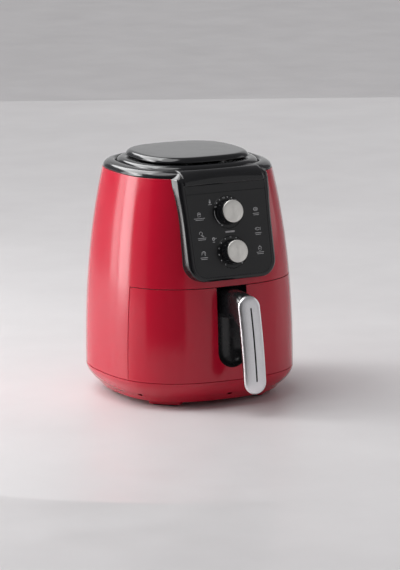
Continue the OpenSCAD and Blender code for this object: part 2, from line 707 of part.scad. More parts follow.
in_frame() outer_housing();
in_frame() base_tray();
in_frame() base_deck();
in_frame() feet();
in_frame() foot_pads();
in_frame() bay_frame();
in_frame() top_bezel();
in_frame() air_inlet();
in_frame() top_cover();
in_frame() panel_frame();
in_frame() panel_fascia();
in_frame() dial_plates();
in_frame() blank_badge();
in_frame() thermostat_body();
in_frame() thermostat_bulb();
in_frame() timer_body();
in_frame() timer_bell();
in_frame() chamber_liner();
in_frame() drawer_rails();
in_frame() heating_element();
in_frame() element_guard();
in_frame() heat_shield();
in_frame() motor_bracket();
in_frame() bracket_screws();
in_frame() motor_stator();
in_frame() exhaust_duct();
in_frame() rear_outlet();
in_frame() cord_plate();
in_frame() cord_gland();
in_frame() terminal_block();
in_frame() thermal_fuse();
in_frame() drawer_switch();
in_frame() base_screws();
in_frame() wiring_harness();
in_frame() motor_rotor();
in_frame() convection_fan();
in_frame() cooling_fan();
in_frame() fan_nut();
in_frame() temperature_knob();
in_frame() temperature_cap();
in_frame() thermostat_shaft();
in_frame() timer_knob();
in_frame() timer_cap();
in_frame() timer_shaft();
in_frame() drawer_front();
in_frame() pocket_insert();
in_frame() drawer_inner_panel();
in_frame() pan();
in_frame() pan_bracket();
in_frame() handle_arm();
in_frame() handle_grip();
in_frame() handle_face();
in_frame() handle_slot_trim();
in_frame() handle_screws();
in_frame() crisper_plate();
in_frame() plate_bumpers();
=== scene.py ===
import json
from contextlib import contextmanager
from math import atan2, copysign, cos, pi, radians, sin, sqrt

import bmesh
import bpy
from mathutils import Matrix, Vector


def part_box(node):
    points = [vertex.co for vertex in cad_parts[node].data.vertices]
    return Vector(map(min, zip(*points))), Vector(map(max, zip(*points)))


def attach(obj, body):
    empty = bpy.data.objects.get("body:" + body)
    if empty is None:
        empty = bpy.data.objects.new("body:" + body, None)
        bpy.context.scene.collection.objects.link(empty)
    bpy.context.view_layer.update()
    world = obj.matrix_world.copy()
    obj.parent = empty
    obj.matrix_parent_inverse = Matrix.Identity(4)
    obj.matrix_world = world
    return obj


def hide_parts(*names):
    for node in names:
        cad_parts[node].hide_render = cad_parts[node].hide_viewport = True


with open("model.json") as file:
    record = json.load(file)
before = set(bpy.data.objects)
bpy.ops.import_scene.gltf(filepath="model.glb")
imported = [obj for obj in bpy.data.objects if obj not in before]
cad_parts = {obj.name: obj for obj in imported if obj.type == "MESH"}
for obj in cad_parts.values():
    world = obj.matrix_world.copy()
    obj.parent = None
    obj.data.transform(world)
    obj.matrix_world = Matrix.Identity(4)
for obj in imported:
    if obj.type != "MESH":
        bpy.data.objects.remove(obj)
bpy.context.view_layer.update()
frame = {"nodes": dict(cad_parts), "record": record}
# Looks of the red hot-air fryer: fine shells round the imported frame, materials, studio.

MM = 0.001
TURN = 2 * pi
CORNERS = [(x, y) for x in (-1, 1) for y in (-1, 1)]

# ---- sizes from the frame

tray_low, tray_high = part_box("base_tray")
house_low, house_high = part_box("outer_housing")
front_low, front_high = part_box("drawer_front")
_, cover_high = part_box("top_cover")
bezel_low, bezel_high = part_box("top_bezel")
outlet_low, outlet_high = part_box("rear_outlet")
foot_low, foot_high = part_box("feet")
pad_low, pad_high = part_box("foot_pads")
_, pocket_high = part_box("pocket_insert")
_, plate_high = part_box("cord_plate")

AXIS_Y = (tray_low.y + tray_high.y) / 2  # the body's own axis
HALF = (tray_high.x - tray_low.x) / 2  # widest half width
BASE_Z = (house_low.z + tray_high.z) / 2
TOP_Z = house_high.z
PLAN_N = 2.62  # squareness of the outline
COVER_N = 2.85  # the same for the cover plate
TAPER = 2.36  # power by which the body draws in towards its top
INSET = 25.2 * MM  # how far it has drawn in there
WALL = 2.6 * MM
FIT = 0.3 * MM  # gap round the pieces let into the housing
SEAM = 0.8 * MM  # gap between the drawer front and the housing
SPLIT_Y = AXIS_Y - front_high.y  # the drawer front's edge, in front of the axis
PANEL_TILT = radians(13.3)
PANEL_TOP = Vector((0, AXIS_Y - 111.6 * MM, 303 * MM))
PANEL_HALF = 60.5 * MM
PANEL_LOW = 124.6 * MM  # length of the face below its crease
PANEL_R = 18 * MM
FLARE = 7 * MM  # how far the rim spreads beyond the face
SHOULDER, SHOULDER_END = 4.5 * MM, 60 * MM  # extra flare at the crease, and where it is gone
RIM_ACROSS, RIM_BACK = 7.6 * MM, 5 * MM  # the round of the rim, sideways and backwards
ROOT_R = 2.6 * MM  # fillet where the rim meets the housing
FACE_TAPER = 2.6 * MM  # each side of the face leans in by this much
GROOVE = 10.8 * MM  # the fine groove across the face, below the crease
FOOT_PLACE = 72 * MM
VENT_ANGLES = (32.5, 90, 147.5, 212.5, 270, 327.5)
KNOB_V = {"temperature": 38.4 * MM, "timer": 92.2 * MM}  # centres, below the crease
KNOB_HIGH = 17 * MM
DIAL_R = 22.4 * MM
GRIP_TILT = radians(9.5)
GRIP_MID = Vector((0, AXIS_Y - 195 * MM, 97.5 * MM))
GRIP_HALF_W = 15.9 * MM
GRIP_HALF_H = 66 * MM
GRIP_DEEP = 15 * MM
END_DROP = 3 * MM  # how far the grip's face falls away at its ends
POCKET_R = 22.5 * MM
POCKET_Z = 78 * MM  # where the pocket's round end starts
RIM_Z = 318.8 * MM  # top of the inlet's floor and ribs
FLOOR_Z = 316.4 * MM  # their underside


# ---- outlines

def half_at(z):
    """Half width of the body at a height."""
    rise = max(0.0, z - BASE_Z) / (TOP_Z - BASE_Z)
    return HALF - INSET * rise ** TAPER


def plan_other(a, known):
    """The other coordinate of a point on the outline of half width a."""
    return max(0.0, a ** PLAN_N - min(a, abs(known)) ** PLAN_N) ** (1 / PLAN_N)


def plan_at(a, angle, n=PLAN_N):
    """A point at an angle on the outline of half width a."""
    c, s = cos(angle), sin(angle)
    r = a * (abs(c) ** n + abs(s) ** n) ** (-1 / n)
    return r * c, r * s


def body_point(a, angle, z, n=PLAN_N):
    x, y = plan_at(a, angle, n)
    return Vector((x, AXIS_Y + y, z))


def body_rings(curve, count, n=PLAN_N):
    """A ring of count points for each (half width, height) of a curve."""
    return [[body_point(a, TURN * j / count, z, n) for j in range(count)] for a, z in curve]


def front_y(x, z):
    """Where the front of the body is at x and z."""
    return AXIS_Y - plan_other(half_at(z), x)


def lerp(a, b, t):
    return a + (b - a) * t


def spaced(a, b, step):
    """Values from a to b, both included, about step apart."""
    n = max(1, round(abs(b - a) / step))
    return [lerp(a, b, i / n) for i in range(n + 1)]


def through(stops, step):
    """Values through all the stops, about step apart."""
    out = [stops[0]]
    for a, b in zip(stops, stops[1:]):
        out += spaced(a, b, step)[1:]
    return out


def smooth_curve(points, per):
    """A Catmull-Rom curve through points, per steps to each."""
    pts = [Vector(p) for p in points]
    pts = [2 * pts[0] - pts[1]] + pts + [2 * pts[-1] - pts[-2]]
    out = []
    for i in range(1, len(pts) - 2):
        p0, p1, p2, p3 = pts[i - 1:i + 3]
        for k in range(per):
            t = k / per
            out.append(0.5 * (2 * p1 + (p2 - p0) * t + (2 * p0 - 5 * p1 + 4 * p2 - p3) * t * t
                              + (3 * p1 - 3 * p2 + p3 - p0) * t ** 3))
    return out + [pts[-2]]


def smooth_pairs(pairs, per):
    """The same through (a, b) pairs."""
    return [(p.x, p.y) for p in smooth_curve([(a, b, 0) for a, b in pairs], per)]


def in_mm(pairs, datum=0.0):
    """(width, height) pairs from millimetres to metres, the heights above a datum."""
    return [(a * MM, datum + b * MM) for a, b in pairs]


# ---- mesh helpers

SAME_POINT = 1e-6
CENTRE = 1e-5  # a ring this small closes a lofted piece


def add_object(name, data):
    obj = bpy.data.objects.new(name, data)
    bpy.context.scene.collection.objects.link(obj)
    return obj


def new_mesh(name, verts, faces, smooth=True):
    mesh = bpy.data.meshes.new(name)
    mesh.from_pydata([tuple(v) for v in verts], [], faces)
    mesh.validate()
    obj = add_object(name, mesh)
    if smooth:
        mesh.shade_smooth()
    return obj


@contextmanager
def editing(obj):
    bm = bmesh.new()
    bm.from_mesh(obj.data)
    yield bm
    bm.to_mesh(obj.data)
    bm.free()


def outward(obj):
    with editing(obj) as bm:
        bmesh.ops.recalc_face_normals(bm, faces=bm.faces)
    return obj


def facing(obj, measure):
    """Turns an open sheet round if measure, summed over its faces, is negative."""
    if sum(measure(p) for p in obj.data.polygons) < 0:
        obj.data.flip_normals()
    return obj


def grid(name, rows, closed=False, closed_rows=False, skip=None, caps=False):
    """A mesh over rows of points, every row as long as the others."""
    n, m = len(rows), len(rows[0])
    verts = [p for row in rows for p in row]
    faces = []
    for i in range(n if closed_rows else n - 1):
        for j in range(m if closed else m - 1):
            if skip and skip(i, j):
                continue
            a, b = i * m + j, i * m + (j + 1) % m
            c, d = ((i + 1) % n) * m + (j + 1) % m, ((i + 1) % n) * m + j
            faces.append((a, b, c, d))
    if caps:
        faces += [tuple(range(m))[::-1], tuple((n - 1) * m + j for j in range(m))]
    obj = new_mesh(name, verts, faces)
    with editing(obj) as bm:
        bmesh.ops.remove_doubles(bm, verts=bm.verts, dist=SAME_POINT)
        loose = [v for v in bm.verts if not v.link_faces]
        bmesh.ops.delete(bm, geom=loose, context="VERTS")
    return obj


def weld(obj, dist=0.02 * MM):
    """Merge points that coincide, and turn the faces of a closed mesh outwards."""
    with editing(obj) as bm:
        bmesh.ops.remove_doubles(bm, verts=bm.verts, dist=dist)
        bmesh.ops.recalc_face_normals(bm, faces=bm.faces)
    return obj


def solidify(obj, thick, even=True):
    """A wall of this thickness behind the surface."""
    mod = obj.modifiers.new("wall", "SOLIDIFY")
    mod.thickness = thick
    mod.offset = -1
    mod.use_even_offset = even
    return obj


def bevel(obj, width):
    """Rounds the edges sharper than 40 degrees."""
    mod = obj.modifiers.new("edge", "BEVEL")
    mod.width = width
    mod.segments = 2
    mod.limit_method = "ANGLE"
    mod.angle_limit = radians(40)
    mod.harden_normals = True
    return obj


def lathe(name, profile, steps=96):
    """A turned piece about local Z from (radius, height) pairs; radius 0 closes it."""
    rows = [[Vector((r * cos(TURN * j / steps), r * sin(TURN * j / steps), z))
             for j in range(steps)] for r, z in profile]
    return outward(grid(name, rows, closed=True))


def prism(name, outline, low, high):
    """A closed prism over a flat outline of (x, y), from z = low to high, flat shaded."""
    n = len(outline)
    verts = [(x, y, low) for x, y in outline] + [(x, y, high) for x, y in outline]
    faces = [tuple(range(n))[::-1], tuple(range(n, 2 * n))]
    faces += [(j, (j + 1) % n, n + (j + 1) % n, n + j) for j in range(n)]
    return outward(new_mesh(name, verts, faces, smooth=False))


def bar(name, near, far, half_width, low, high):
    """A straight bar from near to far along local X."""
    side = half_width
    return prism(name, [(near, -side), (far, -side), (far, side), (near, side)], low, high)


def on_axis(angle):
    """The body's axis, turned by an angle in radians."""
    return Matrix.Translation((0, AXIS_Y, 0)) @ Matrix.Rotation(angle, 4, "Z")


def cut(obj, cutters):
    """Cuts closed meshes out of obj for good."""
    for cutter in cutters:
        mod = obj.modifiers.new("cut", "BOOLEAN")
        mod.operation = "DIFFERENCE"
        mod.solver = "EXACT"
        mod.object = cutter
    apply_modifiers(obj)
    for cutter in cutters:
        bpy.data.objects.remove(cutter)
    return obj


def evaluated_mesh(obj):
    bpy.context.view_layer.update()
    graph = bpy.context.evaluated_depsgraph_get()
    return bpy.data.meshes.new_from_object(obj.evaluated_get(graph))


def apply_modifiers(obj):
    mesh = evaluated_mesh(obj)
    obj.modifiers.clear()
    obj.data = mesh
    return obj


def join(name, objs):
    """One piece from several meshes, each first set in place."""
    bm = bmesh.new()
    for o in objs:
        apply_modifiers(o)
        mesh = o.data.copy()
        mesh.transform(o.matrix_world)
        bm.from_mesh(mesh)
    for o in objs:
        bpy.data.objects.remove(o)
    mesh = bpy.data.meshes.new(name)
    bm.to_mesh(mesh)
    bm.free()
    return add_object(name, mesh)


def smooth_by_angle(obj, degrees=35):
    """Smooth shading, but for edges sharper than this."""
    mesh = obj.data
    mesh.shade_smooth()
    mesh.set_sharp_from_angle(angle=radians(degrees))
    return obj


def tilted(tilt, origin):
    """A frame with x across, y up along a face that leans back by tilt, z straight out of it."""
    up = Vector((0, sin(tilt), cos(tilt)))
    out = Vector((0, -cos(tilt), sin(tilt)))
    m = Matrix((Vector((1, 0, 0)), up, out)).transposed().to_4x4()
    m.translation = origin
    return m


PANEL = tilted(PANEL_TILT, PANEL_TOP)
GRIP = tilted(GRIP_TILT, GRIP_MID)


def on_panel(x, v, out=0.0):
    return PANEL @ Vector((x, v, out))


def finish_piece(obj, body, slot, material, *nodes):
    """Gives a piece its material and its body, and hides the CAD nodes that it replaces. The slot is not
    used.
    """
    obj.data.materials.clear()
    obj.data.materials.append(material)
    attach(obj, body)
    if nodes:
        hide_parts(*nodes)
    return obj


# ---- materials

def shader(name, color, rough, metal=0.0, aniso=0.0):
    mat = bpy.data.materials.new(name)
    mat.use_nodes = True
    b = mat.node_tree.nodes["Principled BSDF"]
    b.inputs["Base Color"].default_value = (*color, 1)
    b.inputs["Roughness"].default_value = rough
    b.inputs["Metallic"].default_value = metal
    b.inputs["Anisotropic"].default_value = aniso
    return mat


def node(mat, kind, **values):
    n = mat.node_tree.nodes.new(kind)
    for key, value in values.items():
        if key in n.inputs:
            n.inputs[key].default_value = value
        else:
            setattr(n, key, value)
    return n


def coords(mat, scale=(1, 1, 1)):
    """Object coordinates in metres, scaled."""
    link = mat.node_tree.links.new
    c = node(mat, "ShaderNodeTexCoord")
    m = node(mat, "ShaderNodeMapping")
    m.inputs["Scale"].default_value = scale
    link(c.outputs["Object"], m.inputs["Vector"])
    return m.outputs["Vector"]


def noise(mat, scale, detail=3.0, stretch=(1, 1, 1)):
    n = node(mat, "ShaderNodeTexNoise", Scale=scale, Detail=detail)
    mat.node_tree.links.new(coords(mat, stretch), n.inputs["Vector"])
    return n.outputs["Fac"]


NOISE_LOW, NOISE_HIGH = 0.3, 0.7  # nearly all of a noise lies between these


def ramped(mat, source, low, high):
    """The source spread over low to high."""
    r = node(mat, "ShaderNodeMapRange")
    r.inputs["From Min"].default_value = NOISE_LOW
    r.inputs["From Max"].default_value = NOISE_HIGH
    r.inputs["To Min"].default_value = low
    r.inputs["To Max"].default_value = high
    mat.node_tree.links.new(source, r.inputs["Value"])
    return r.outputs["Result"]


def vary_rough(mat, source, low, high):
    b = mat.node_tree.nodes["Principled BSDF"]
    mat.node_tree.links.new(ramped(mat, source, low, high), b.inputs["Roughness"])


def vary_color(mat, source, dark, light):
    mix = node(mat, "ShaderNodeMix", data_type="RGBA")
    mix.inputs["A"].default_value = (*dark, 1)
    mix.inputs["B"].default_value = (*light, 1)
    link = mat.node_tree.links.new
    link(ramped(mat, source, 0, 1), mix.inputs["Factor"])
    link(mix.outputs["Result"], mat.node_tree.nodes["Principled BSDF"].inputs["Base Color"])


def bump(mat, source, strength, distance):
    n = node(mat, "ShaderNodeBump", Strength=strength, Distance=distance)
    link = mat.node_tree.links.new
    link(source, n.inputs["Height"])
    link(n.outputs["Normal"], mat.node_tree.nodes["Principled BSDF"].inputs["Normal"])


def gloss_plastic(name, dark, light, rough):
    """High-gloss moulding: faint flow in the colour, a trace of orange peel, soft wipe marks."""
    mat = shader(name, dark, rough[0])
    vary_color(mat, noise(mat, 9, 2, (1, 1, 0.5)), dark, light)
    vary_rough(mat, noise(mat, 45, 5), *rough)
    bump(mat, noise(mat, 260, 2), 0.06, 0.0004)
    return mat


def matt_plastic(name, dark, light, rough, grain=0.25, size=1500):
    """Spark-eroded moulding: a fine grain in the surface and a little unevenness in its sheen."""
    mat = shader(name, dark, rough[0])
    vary_color(mat, noise(mat, 30, 4), dark, light)
    vary_rough(mat, noise(mat, 60, 4), *rough)
    bump(mat, noise(mat, size, 3), grain, 0.0002)
    return mat


def brushed_metal(name, dark, light, rough, stretch, scale=900, aniso=0.5, strength=0.12):
    """Brushed or satin metal: fine lines, drawn out along the axis that stretch makes small."""
    mat = shader(name, dark, rough[0], metal=1.0, aniso=aniso)
    lines = noise(mat, scale, 4, stretch)
    vary_color(mat, lines, dark, light)
    vary_rough(mat, noise(mat, 80, 4), *rough)
    bump(mat, lines, strength, 0.0001)
    return mat


RED = gloss_plastic("crimson_gloss", (0.48, 0.006, 0.026), (0.53, 0.008, 0.031), (0.13, 0.19))
BLACK = gloss_plastic("piano_black", (0.008, 0.008, 0.009), (0.013, 0.013, 0.015), (0.09, 0.16))
POCKET = matt_plastic("pocket_black", (0.012, 0.012, 0.013), (0.018, 0.018, 0.02), (0.2, 0.3), 0.1)
MATT = matt_plastic("matt_black", (0.016, 0.016, 0.017), (0.026, 0.026, 0.027), (0.42, 0.56))
FASCIA = matt_plastic("charcoal_fascia", (0.008, 0.008, 0.009), (0.012, 0.012, 0.013),
                      (0.30, 0.40), 0.12)
DIAL = gloss_plastic("dial_black", (0.004, 0.004, 0.005), (0.008, 0.008, 0.009), (0.22, 0.30))
SATIN = brushed_metal("satin_silver", (0.80, 0.79, 0.81), (0.86, 0.85, 0.87), (0.30, 0.37),
                      (1, 1, 1), 700, 0.0, 0.05)
# the grip's satin metal made darker and rougher: painted shade, so that the badge shows less of the lights'
# reflection
SHADED_BADGE = brushed_metal("shaded_badge_metal", (0.34, 0.33, 0.34), (0.42, 0.41, 0.42), (0.38, 0.46),
                      (1, 1, 1), 700, 0.0, 0.05)
STEEL = brushed_metal("sheet_steel", (0.42, 0.42, 0.42), (0.6, 0.6, 0.6), (0.25, 0.4), (1, 1, 0.03))
TURNED = brushed_metal("turned_steel", (0.5, 0.5, 0.51), (0.66, 0.66, 0.67), (0.2, 0.32), (0.1, 0.1, 1))
RUBBER = matt_plastic("rubber", (0.012, 0.012, 0.012), (0.02, 0.02, 0.02), (0.75, 0.9), 0.4)
SILICONE = matt_plastic("silicone", (0.05, 0.05, 0.053), (0.07, 0.07, 0.075), (0.5, 0.62), 0.15)
COATED = matt_plastic("pan_coating", (0.018, 0.018, 0.019), (0.03, 0.03, 0.032), (0.32, 0.46), 0.35, 900)
HEATER = matt_plastic("heater_sheath", (0.09, 0.075, 0.065), (0.17, 0.15, 0.14), (0.45, 0.6), 0.3, 700)
IRON = matt_plastic("motor_iron", (0.1, 0.1, 0.11), (0.16, 0.16, 0.17), (0.4, 0.55), 0.3, 500)
COPPER = brushed_metal("copper_capillary", (0.6, 0.3, 0.17), (0.75, 0.42, 0.26), (0.25, 0.4), (1, 1, 1))
CREAM = matt_plastic("terminal_cream", (0.7, 0.66, 0.55), (0.78, 0.75, 0.66), (0.4, 0.5), 0.1)
CABLE = matt_plastic("cable_sheath", (0.02, 0.02, 0.022), (0.035, 0.035, 0.037), (0.45, 0.55), 0.1)
PRINT = matt_plastic("printed_white", (0.52, 0.52, 0.53), (0.62, 0.62, 0.63), (0.45, 0.55), 0.05)


def cap_metal():
    """Spun aluminium: rings about the cap's own Z and a highlight that fans out from its centre."""
    mat = shader("spun_aluminium", (0.8, 0.78, 0.74), 0.3, metal=1.0, aniso=0.8)
    link = mat.node_tree.links.new
    rings = node(mat, "ShaderNodeTexWave", wave_type="RINGS", rings_direction="Z", Scale=1100.0,
                 Distortion=1.5, Detail=2.0)
    link(coords(mat), rings.inputs["Vector"])
    vary_color(mat, rings.outputs["Fac"], (0.77, 0.75, 0.71), (0.84, 0.82, 0.78))
    vary_rough(mat, noise(mat, 300, 4), 0.30, 0.38)
    bump(mat, rings.outputs["Fac"], 0.03, 0.00003)
    tangent = node(mat, "ShaderNodeTangent", direction_type="RADIAL", axis="Z")
    link(tangent.outputs["Tangent"], mat.node_tree.nodes["Principled BSDF"].inputs["Tangent"])
    return mat


SPUN = cap_metal()

CAD_LOOKS = {
    "red_plastic": RED, "gloss_black_plastic": BLACK, "matt_black_plastic": MATT,
    "charcoal_fascia": FASCIA, "dial_black": DIAL, "satin_silver": SATIN, "brushed_cap": SPUN,
    "rubber_pad": RUBBER, "silicone": SILICONE, "sheet_steel": STEEL, "turned_steel": TURNED,
    "heater_sheath": HEATER, "motor_iron": IRON, "pan_coating": COATED, "copper_capillary": COPPER,
    "terminal_cream": CREAM, "cable_sheath": CABLE,
}


def dress_cad_nodes():
    """The material of each CAD node that stays in view or inside."""
    for part in frame["record"]["subparts"]:
        obj = frame["nodes"][part["node"]]
        obj.data.materials.clear()
        obj.data.materials.append(CAD_LOOKS[part["material_slot"]])


# ---- body shells

def columns(a, stops):
    """Angles round the outline of half width a; stops are (angle function, steps) pairs."""
    angles = []
    for (start, steps), (end, _) in zip(stops, stops[1:]):
        t0, t1 = start(a), end(a)
        angles += [lerp(t0, t1, k / steps) for k in range(steps)]
    return angles


def at_x(x, front=True):
    """The angle where an outline meets x, in front or behind."""
    def angle(a):
        y = plan_other(a, x)
        return atan2(-y, x) % TURN if front else atan2(y, x)
    return angle


def at_split(right, offset=0.0):
    """The angle where an outline meets the plane of the drawer's edge."""
    def angle(a):
        x = plan_other(a, SPLIT_Y + offset)
        t = atan2(-(SPLIT_Y + offset), x if right else -x)
        return t if right else t % TURN
    return angle


def once_round(angle_of):
    """The same stop, a full turn on."""
    return lambda a: angle_of(a) + TURN


WINDOW_HALF, WINDOW_Z = 57 * MM, 188 * MM
OUTLET_HALF = outlet_high.x + FIT
OUTLET_FROM, OUTLET_TO = outlet_low.z - FIT, outlet_high.z + FIT
NOTCH_HALF, NOTCH_Z = plate_high.x + FIT, plate_high.z + FIT
BAY_Z = front_high.z + SEAM


def make_housing():
    """The housing's shell, open at the drawer's bay, the panel, the outlet and the cord plate's notch."""
    stops = [(at_split(True, -SEAM), 70), (at_x(OUTLET_HALF, False), 12), (at_x(NOTCH_HALF, False), 16),
             (at_x(-NOTCH_HALF, False), 12), (at_x(-OUTLET_HALF, False), 70), (at_split(False, -SEAM), 24),
             (at_x(-WINDOW_HALF), 40), (at_x(WINDOW_HALF), 24), (once_round(at_split(True, -SEAM)), 0)]
    edges = [0]
    for _, steps in stops[:-1]:
        edges.append(edges[-1] + steps)
    _, outlet_right, notch_right, notch_left, outlet_left, bay_left, window_left, window_right, _ = edges
    heights = [house_low.z, NOTCH_Z, *sorted([OUTLET_FROM, BAY_Z]), WINDOW_Z, OUTLET_TO, TOP_Z]
    levels = through(heights, 5 * MM)
    rows = [[body_point(half_at(z), t, z) for t in columns(half_at(z), stops)] for z in levels]

    def skip(i, j):
        z = (levels[i] + levels[i + 1]) / 2
        bay = j >= bay_left and z < BAY_Z
        window = window_left <= j < window_right and z > WINDOW_Z
        outlet = outlet_right <= j < outlet_left and OUTLET_FROM < z < OUTLET_TO
        notch = notch_right <= j < notch_left and z < NOTCH_Z
        return bay or window or outlet or notch

    shell = outward(grid("housing_shell", rows, closed=True, skip=skip))
    solidify(shell, WALL)
    bevel(shell, 0.5 * MM)
    finish_piece(shell, "housing", "red_plastic", RED, "outer_housing")


def make_drawer_front():
    """The drawer front's shell, with the finger pocket's cut-out open at its upper edge."""
    side, half = 44, 14  # columns beside the pocket, and in half of it

    def pocket_edge(share):
        x = POCKET_R * share
        return lambda a: atan2(-plan_other(a, x), x) % TURN

    mids = [sin(pi / 2 * k / half) for k in range(-half, half + 1)]
    stops = [(at_split(False), side)] + [(pocket_edge(s), 1) for s in mids]
    stops[-1] = (stops[-1][0], side)
    stops.append((once_round(at_split(True)), 1))
    first, last = side, side + 2 * half
    levels = through([front_low.z, POCKET_Z, front_high.z], 4 * MM)
    rows = []
    for z in levels:
        row = []
        for j, t in enumerate(columns(half_at(z), stops) + [stops[-1][0](half_at(z))]):
            height = z
            if first <= j <= last and z <= POCKET_Z:
                s = mids[j - first]
                floor_z = POCKET_Z - POCKET_R * sqrt(max(0.0, 1 - s * s))
                height = lerp(front_low.z, floor_z, (z - front_low.z) / (POCKET_Z - front_low.z))
            row.append(body_point(half_at(height), t, height))
        rows.append(row)

    def skip(i, j):
        return first <= j < last and levels[i] > POCKET_Z - SAME_POINT

    shell = outward(grid("drawer_front_shell", rows, skip=skip))
    if max(p.normal.dot(p.center - Vector((0, AXIS_Y, p.center.z))) for p in shell.data.polygons) <= 0:
        shell.data.flip_normals()
    solidify(shell, WALL)
    bevel(shell, 0.6 * MM)
    finish_piece(shell, "drawer", "red_plastic", RED, "drawer_front")


def make_base():
    """The lower shell: a flat underside, a curved chamfer and small vent slots in the chamfer."""
    chamfer = [(HALF - a * MM, z * MM) for a, z in ((16, 14), (9.5, 20), (4, 27), (1, 33))]
    profile = [(HALF - 21 * MM, tray_low.z), *chamfer, (HALF, tray_high.z)]
    under = [(CENTRE, tray_low.z)] + [(a * MM, tray_low.z) for a in (40, 80, 108)]
    shell = outward(grid("base_shell", body_rings(under + smooth_pairs(profile, 6), 288), closed=True))
    solidify(shell, WALL)
    slots = []
    for angle in VENT_ANGLES:
        slot = bar("slot", 100 * MM, 160 * MM, 3.4 * MM, 15.4 * MM, 18.6 * MM)
        slot.matrix_world = on_axis(radians(angle))
        slots.append(slot)
    cut(shell, slots)
    smooth_by_angle(shell)
    bevel(shell, 0.4 * MM)
    finish_piece(shell, "housing", "red_plastic", RED, "base_tray")


def rounded_outline(w, d, r, steps=10):
    """A rectangle w by d about the origin, its corners rounded."""
    out = []
    for k, (sx, sy) in enumerate(((1, 1), (-1, 1), (-1, -1), (1, -1))):
        for i in range(steps + 1):
            t = pi / 2 * (k + i / steps)
            out.append((sx * (w / 2 - r) + r * cos(t), sy * (d / 2 - r) + r * sin(t)))
    return out


def make_feet():
    """Four red feet across the corners, and their rubber pads."""
    for name, w, d, r, low, high, round_r, slot, mat, node_name in (
            ("foot_blocks", 46, 19, 6, foot_low.z, foot_high.z + 2 * MM, 1.2, "red_plastic", RED, "feet"),
            ("foot_rubbers", 38, 14, 6.5, pad_low.z, pad_high.z, 0.4, "rubber_pad", RUBBER, "foot_pads")):
        blocks = []
        for sx, sy in CORNERS:
            block = prism(name, rounded_outline(w * MM, d * MM, r * MM), low, high)
            bevel(block, round_r * MM)
            block.matrix_world = (Matrix.Translation((sx * FOOT_PLACE, AXIS_Y + sy * FOOT_PLACE, 0))
                                  @ Matrix.Rotation(-sx * sy * pi / 4, 4, "Z"))
            blocks.append(block)
        finish_piece(join(name, blocks), "housing", slot, mat, node_name)


# ---- top

CREST_A, CREST_Z = 96.5 * MM, bezel_high.z


def make_bezel():
    """The gloss ring: outside, crest and inside."""
    rim = half_at(TOP_Z)
    z0 = bezel_low.z
    outline = [(rim - 0.3 * MM, z0), (rim - 0.8 * MM, 315 * MM), (rim - 3.0 * MM, 318.2 * MM),
               (rim - 7.2 * MM, 320.9 * MM), (CREST_A, CREST_Z),
               *in_mm(((93.8, 321.5), (92.0, 319.4), (91.6, 316))), (91.5 * MM, z0)]
    rows = body_rings(smooth_pairs(outline, 5), 288)
    ring = outward(grid("bezel_ring", rows, closed=True, closed_rows=True))
    finish_piece(ring, "housing", "gloss_black_plastic", BLACK, "top_bezel")


def make_inlet():
    """Outer tier, a floor and radial ribs between open slots."""
    tier = [(91.0 * MM, bezel_low.z)] + in_mm((
        (91.0, 317.5), (90.4, 320.4), (88.6, 323.0), (85.6, 324.9), (82, 325.7), (78.5, 325.2), (76, 322.6),
        (75, 318.8)))
    outer = outward(grid("tier", body_rings(smooth_pairs(tier, 5), 256), closed=True))
    solidify(outer, 1.8 * MM)
    hub = [(CENTRE, RIM_Z), (30 * MM, RIM_Z), (46 * MM, RIM_Z), (46.6 * MM, 318.2 * MM), (46.6 * MM, FLOOR_Z),
           (CENTRE, FLOOR_Z)]
    pieces = [outer, outward(grid("hub", body_rings(hub, 128), closed=True))]
    ribs, rib_from, rib_to, tier_inside = 48, 45 * MM, 79 * MM, 77 * MM
    for i in range(ribs):
        rib = bevel(bar("rib", rib_from, rib_to, 1.3 * MM, FLOOR_Z, RIM_Z), 0.3 * MM)
        angle = TURN * (i + 0.5) / ribs
        reach = Vector(plan_at(tier_inside, angle)).length / rib_to
        rib.matrix_world = on_axis(angle) @ Matrix.Diagonal((reach, 1, 1, 1))
        pieces.append(rib)
    inlet = join("air_inlet_vanes", pieces)
    smooth_by_angle(inlet)
    finish_piece(inlet, "housing", "matt_black_plastic", BLACK, "air_inlet")


def make_cover():
    """The cover plate with its round edge, on four short posts."""
    top = cover_high.z
    post_top, post_place = top - 8.4 * MM, 26 * MM
    edge = in_mm(((66, -8.2), (73, -8), (76.6, -7.4), (77.5, -6.2), (76.9, -4.6), (75.0, -2.2), (73.0, -0.8),
                  (70.6, -0.15), (67.6, 0)), top)
    curve = [(CENTRE, top - 8.2 * MM)] + [(a, min(z, top)) for a, z in smooth_pairs(edge, 5)]
    curve += [(50 * MM, top), (25 * MM, top), (CENTRE, top)]
    plate = outward(grid("cover_plate", body_rings(curve, 256, COVER_N), closed=True))
    posts = []
    for sx, sy in CORNERS:
        post = lathe("post", [(0, RIM_Z), (5 * MM, RIM_Z), (4 * MM, 320 * MM), (4 * MM, post_top),
                              (0, post_top)], 32)
        post.matrix_world = Matrix.Translation((sx * post_place, AXIS_Y + sy * post_place, 0))
        posts.append(post)
    cover = join("top_cover_plate", [plate] + posts)
    smooth_by_angle(cover, 50)
    finish_piece(cover, "housing", "gloss_black_plastic", BLACK, "top_cover")


# ---- control panel

def bezel_reach(z):
    """Half width of the bezel's outside at a height above the housing's rim."""
    if z <= TOP_Z:
        return half_at(z)
    rim = half_at(TOP_Z)
    t = min(1.0, (z - TOP_Z) / (CREST_Z - TOP_Z))
    return CREST_A + (rim - CREST_A) * sqrt(max(0.0, 1 - t * t))


def band_point(x, s):
    """The glossy band: s = 0 on the panel's crease, s = 1 on the bezel's crest."""
    y1 = AXIS_Y - plan_other(CREST_A, x)
    t = s * pi / 2
    return Vector((x, lerp(PANEL_TOP.y, y1, 1 - cos(t)), lerp(PANEL_TOP.z, CREST_Z, sin(t))))


def face_half(v):
    """Half width of the panel's face at a distance below the crease."""
    return PANEL_HALF - FACE_TAPER * v / PANEL_LOW


